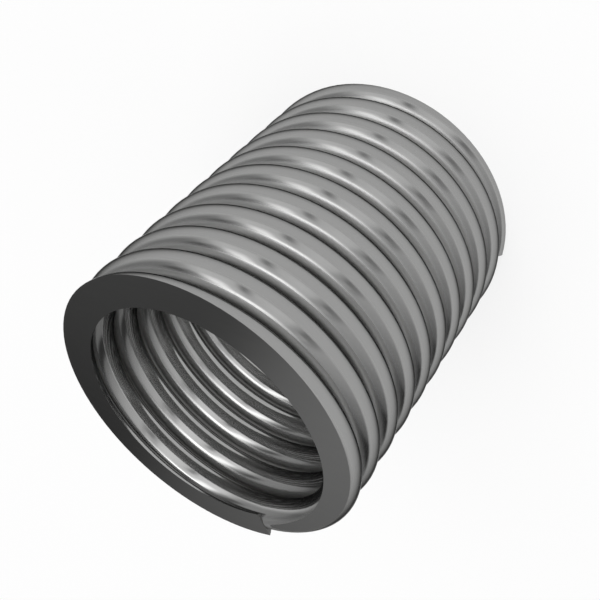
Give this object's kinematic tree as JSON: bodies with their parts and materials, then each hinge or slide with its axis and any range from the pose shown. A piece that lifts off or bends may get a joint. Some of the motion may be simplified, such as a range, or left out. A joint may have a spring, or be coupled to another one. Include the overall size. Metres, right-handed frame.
{
  "type": "compression spring",
  "caption": "Closely wound right-hand helical compression spring of round steel wire, with closed coils and flat ground ends.",
  "frame": {"origin": "middle of the lower ground end, on the coil axis", "axes": "+Z along the coil axis, from the lower ground end to the upper one; +X through the lower wire tip"},
  "size_m": [0.038, 0.038, 0.0438],
  "materials": {
    "spring_steel": "dark satin drawn wire, flat ground ends"
  },
  "bodies": {
    "root": {"compression_spring": "spring_steel"}
  },
  "joints": []
}
